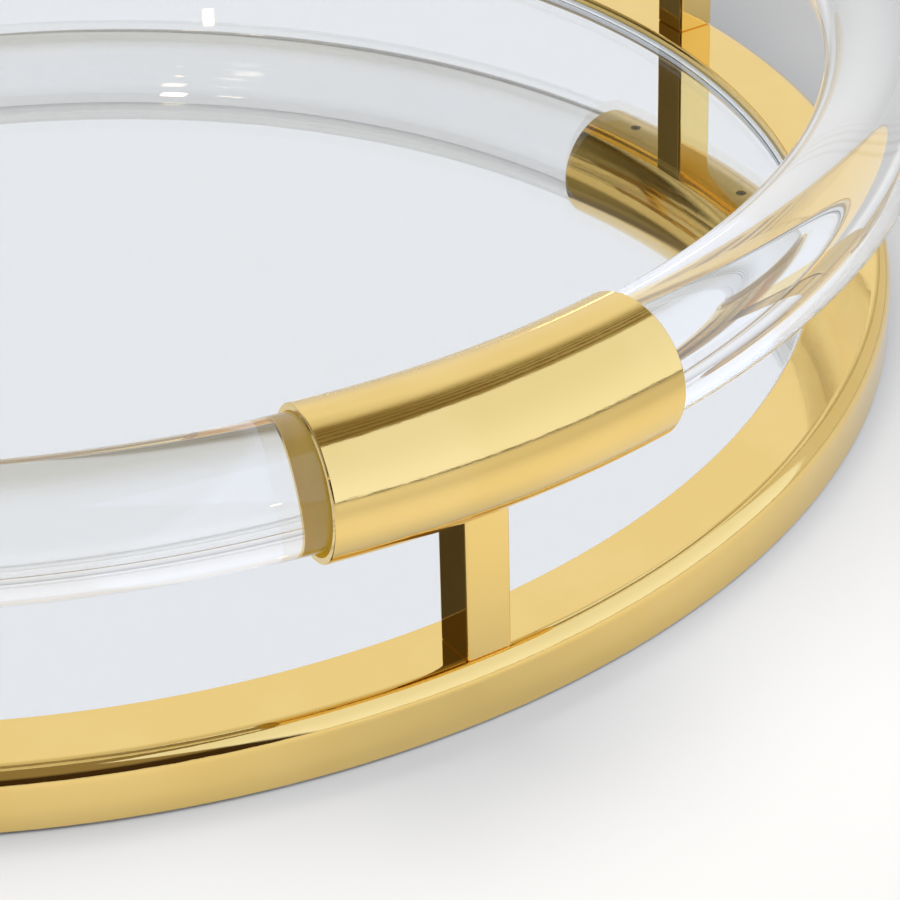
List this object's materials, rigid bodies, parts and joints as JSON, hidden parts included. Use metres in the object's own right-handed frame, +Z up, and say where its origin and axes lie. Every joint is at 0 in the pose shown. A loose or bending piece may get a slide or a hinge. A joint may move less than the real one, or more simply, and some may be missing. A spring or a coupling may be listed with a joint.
{
  "type": "round mirrored vanity tray",
  "caption": "Round mirrored tray for a dresser, with a polished gold base ring and a raised rail of clear rods joined by gold sleeves on square posts.",
  "frame": {"origin": "on the table, under the centre of the tray", "axes": "+Z up along the tray's round axis; the posts stand on -Y (front), +X (right), +Y (back) and -X (left)"},
  "size_m": [0.3158, 0.3158, 0.057],
  "materials": {
    "gold": "mirror polished, gold plated and lacquered",
    "acrylic": "clear, flame polished",
    "glass": "clear, ground edges",
    "silvering": "silvered behind the glass",
    "board": "hardboard",
    "felt": "short black pile",
    "foam_tape": "closed-cell foam with adhesive on both faces",
    "steel": "zinc plated",
    "dark_steel": "blackened"
  },
  "bodies": {
    "root": {"base_board": "board", "base_felt": "felt", "base_ring": "gold", "board_screws": "steel", "grub_screws": "dark_steel", "mirror_glass": "glass", "mirror_silvering": "silvering", "mirror_tape": "foam_tape", "post_back": "gold", "post_front": "gold", "post_left": "gold", "post_right": "gold", "post_screws": "steel", "rod_back_left": "acrylic", "rod_back_right": "acrylic", "rod_front_left": "acrylic", "rod_front_right": "acrylic", "saddle_washers": "steel", "sleeve_back": "gold", "sleeve_front": "gold", "sleeve_left": "gold", "sleeve_right": "gold", "sleeve_screws": "steel"}
  },
  "joints": []
}
